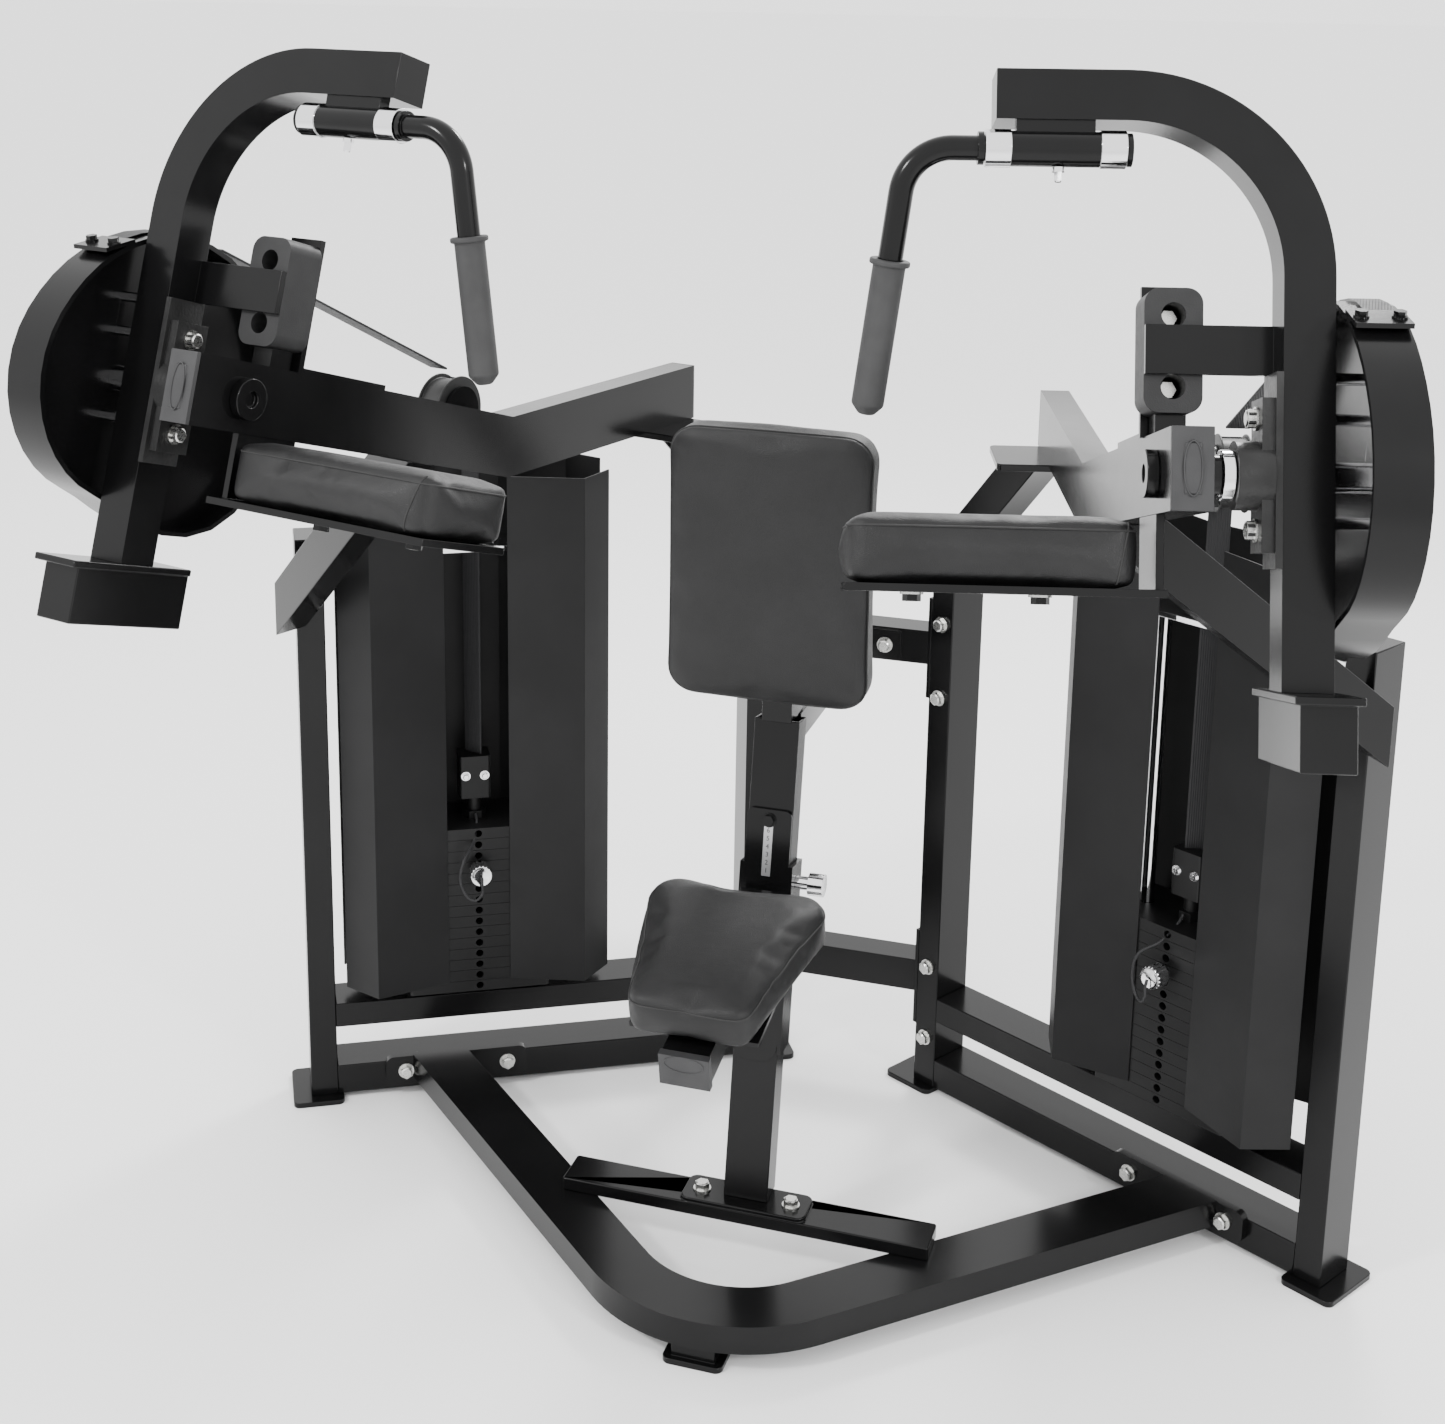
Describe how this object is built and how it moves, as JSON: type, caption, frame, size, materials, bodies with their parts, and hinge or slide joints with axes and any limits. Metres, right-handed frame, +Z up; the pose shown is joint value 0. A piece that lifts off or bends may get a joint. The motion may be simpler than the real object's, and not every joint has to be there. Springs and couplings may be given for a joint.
{
  "type": "pec deck machine",
  "caption": "Seated strength machine with independent swinging arms, cams and belts, elbow pads, backrest, sliding seat and a weight stack on each side.",
  "frame": {"origin": "centre of the bounding box, on the floor", "axes": "+X to the seated user's left-hand tower as seen from the front right, -Y the way the user faces, +Z up"},
  "size_m": [1.5886, 1.1074, 1.5897],
  "materials": {
    "frame_paint": "gloss",
    "shroud_paint": "satin",
    "pad": "grained",
    "chrome": "polished",
    "stack_paint": "matte",
    "rubber": "matte",
    "cap_plastic": "matte",
    "cast": "painted",
    "zinc": "satin",
    "belt": "matte"
  },
  "bodies": {
    "frame": {"front_upright_left": "frame_paint", "front_upright_right": "frame_paint", "rear_upright_left": "frame_paint", "rear_upright_right": "frame_paint", "tower_rails_left": "frame_paint", "tower_rails_right": "frame_paint", "front_brace_left": "frame_paint", "front_brace_right": "frame_paint", "beam_left": "frame_paint", "beam_right": "frame_paint", "arm_pad_left": "pad", "arm_pad_right": "pad", "pad_bracket_left": "frame_paint", "pad_bracket_right": "frame_paint", "bumper_left": "rubber", "bumper_right": "rubber", "pivot_shaft_left": "chrome", "pivot_shaft_right": "chrome", "shrouds_left": "shroud_paint", "shrouds_right": "shroud_paint", "stack_base_left": "stack_paint", "stack_base_right": "stack_paint", "guide_rods_left": "chrome", "guide_rods_right": "chrome", "pulley_bracket_left": "frame_paint", "pulley_bracket_right": "frame_paint", "belt_run_left": "belt", "belt_run_right": "belt", "foot_plates": "frame_paint", "front_frame": "frame_paint", "stabilizer": "frame_paint", "seat_post": "frame_paint", "cross_members": "frame_paint", "backrest_bracket": "frame_paint", "backrest_pad": "pad", "bumper_brackets": "frame_paint", "frame_bolts": "zinc", "end_caps": "cap_plastic"},
    "arm_left": {"arm_left": "frame_paint", "bearing_left": "cast", "cam_left": "frame_paint", "counterweight_left": "frame_paint"},
    "handle_left": {"handle_bar_left": "frame_paint", "grip_left": "rubber"},
    "lift_left": {"stack_top_left": "stack_paint", "belt_drop_left": "belt"},
    "pin_left": {"selector_pin_left": "chrome"},
    "wheel_left": {"pulley_left": "cap_plastic"},
    "arm_right": {"arm_right": "frame_paint", "bearing_right": "cast", "cam_right": "frame_paint", "counterweight_right": "frame_paint"},
    "handle_right": {"handle_bar_right": "frame_paint", "grip_right": "rubber"},
    "lift_right": {"stack_top_right": "stack_paint", "belt_drop_right": "belt"},
    "pin_right": {"selector_pin_right": "chrome"},
    "wheel_right": {"pulley_right": "cap_plastic"},
    "seat": {"seat_carriage": "frame_paint", "seat_pad": "pad"}
  },
  "joints": [
    {"name": "arm_left_swing", "type": "hinge", "parent": "frame", "child": "arm_left", "pos_m": [-0.63623, -0.38393, 1.20573], "axis": [0.9659, -0.2588, 0], "range_deg": [0, 110], "deforming": ["belt_run_left"]},
    {"name": "handle_left_swing", "type": "hinge", "parent": "arm_left", "child": "handle_left", "pos_m": [-0.37895, -0.3742, 1.51241], "axis": [0.9659, -0.2588, 0], "range_deg": [-110, 40]},
    {"name": "stack_left_lift", "type": "slide", "parent": "frame", "child": "lift_left", "axis": [0, 0, 1], "range_m": [0, 0.31], "deforming": ["belt_drop_left"]},
    {"name": "pin_left_pull", "type": "slide", "parent": "lift_left", "child": "pin_left", "axis": [0.5, -0.866, 0], "range_m": [0, 0.1]},
    {"name": "pulley_left_turn", "type": "hinge", "parent": "frame", "child": "wheel_left", "pos_m": [-0.53932, 0.22067, 1.06181], "axis": [0.9659, -0.2588, 0], "range_deg": [0, 400]},
    {"name": "arm_right_swing", "type": "hinge", "parent": "frame", "child": "arm_right", "pos_m": [0.63623, -0.38393, 1.20573], "axis": [0.9659, 0.2588, 0], "range_deg": [0, 110], "deforming": ["belt_run_right"]},
    {"name": "handle_right_swing", "type": "hinge", "parent": "arm_right", "child": "handle_right", "pos_m": [0.37895, -0.3742, 1.51241], "axis": [0.9659, 0.2588, 0], "range_deg": [-110, 40]},
    {"name": "stack_right_lift", "type": "slide", "parent": "frame", "child": "lift_right", "axis": [0, 0, 1], "range_m": [0, 0.31], "deforming": ["belt_drop_right"]},
    {"name": "pin_right_pull", "type": "slide", "parent": "lift_right", "child": "pin_right", "axis": [-0.5, -0.866, 0], "range_m": [0, 0.1]},
    {"name": "pulley_right_turn", "type": "hinge", "parent": "frame", "child": "wheel_right", "pos_m": [0.53932, 0.22067, 1.06181], "axis": [0.9659, 0.2588, 0], "range_deg": [0, 400]},
    {"name": "seat_height", "type": "slide", "parent": "frame", "child": "seat", "axis": [0, 0.1685, 0.9857], "range_m": [-0.025, 0.0375]}
  ],
  "couplings": [
    {"joint": "stack_left_lift", "follows": "arm_left_swing", "m_per_rad": 0.16},
    {"joint": "pulley_left_turn", "follows": "arm_left_swing", "ratio": 3.5556},
    {"joint": "stack_right_lift", "follows": "arm_right_swing", "m_per_rad": 0.16},
    {"joint": "pulley_right_turn", "follows": "arm_right_swing", "ratio": 3.5556}
  ]
}
